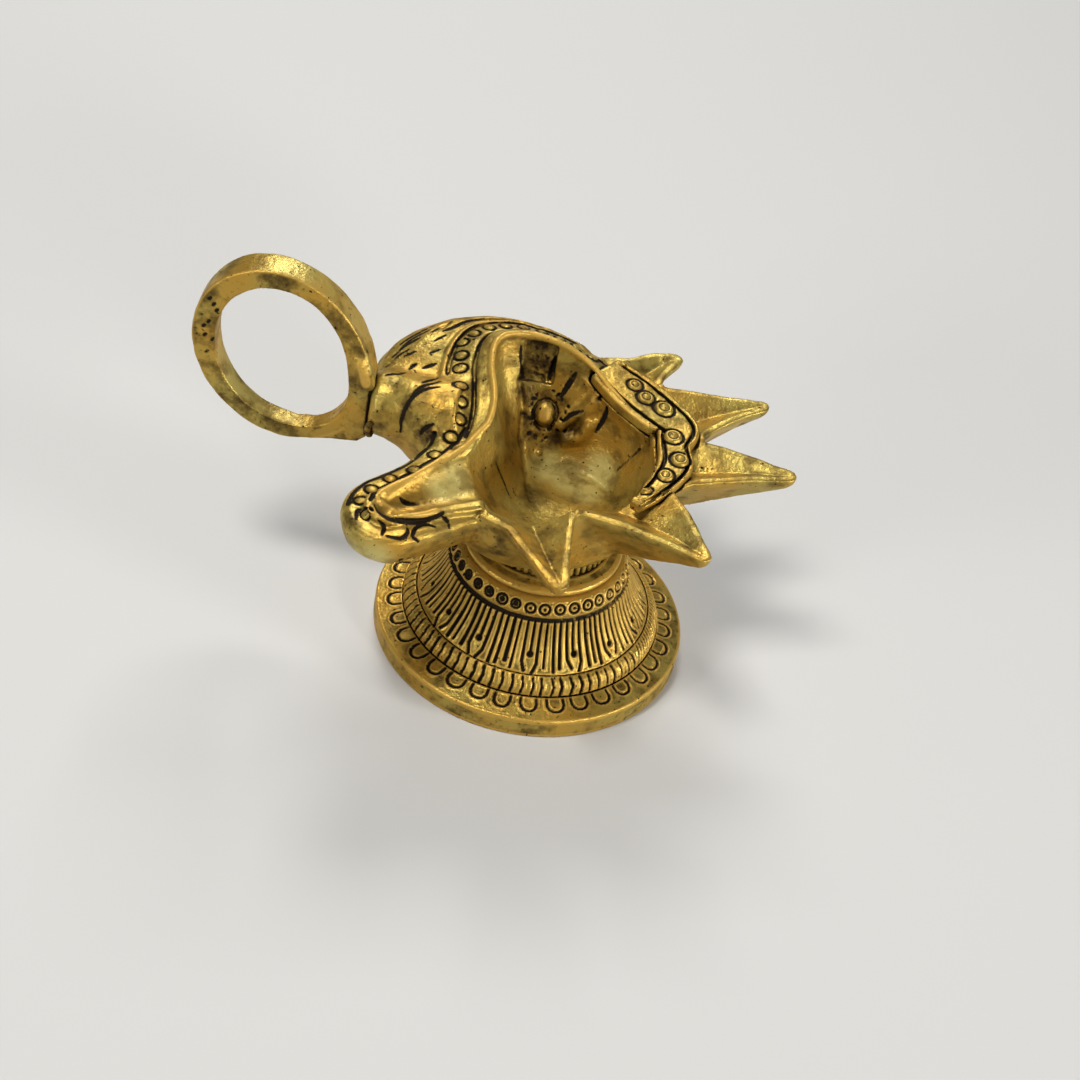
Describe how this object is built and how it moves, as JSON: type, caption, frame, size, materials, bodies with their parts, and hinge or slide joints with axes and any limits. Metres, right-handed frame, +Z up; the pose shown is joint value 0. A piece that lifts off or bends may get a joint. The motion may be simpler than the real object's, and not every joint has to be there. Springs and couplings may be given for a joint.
{
  "type": "diya",
  "caption": "Cast brass hand lamp: conch-shaped oil bowl with pointed wick spouts and a pouring canal, a finger ring at the side and a hollow bell foot.",
  "frame": {"origin": "middle of the whole lamp's bounding box, on the floor plane that the foot stands on", "axes": "+X from the finger ring towards the spouts, +Y to the back of the picture's view, +Z up"},
  "size_m": [0.1202, 0.075, 0.0737],
  "materials": {
    "cast_brass": "satin cast brass with dark patina in its recesses",
    "turned_brass": "satin turned and chased brass with dark patina in its recesses",
    "hard_solder": "dull and dark, as left from brazing"
  },
  "bodies": {
    "root": {"conch_bowl": "cast_brass", "lip_strap": "cast_brass", "handle_ring": "cast_brass", "braze_bead": "hard_solder", "fluted_neck": "turned_brass", "seat_collar": "turned_brass", "foot_bell": "turned_brass", "clamp_washer": "turned_brass", "clamp_nut": "turned_brass"}
  },
  "joints": []
}
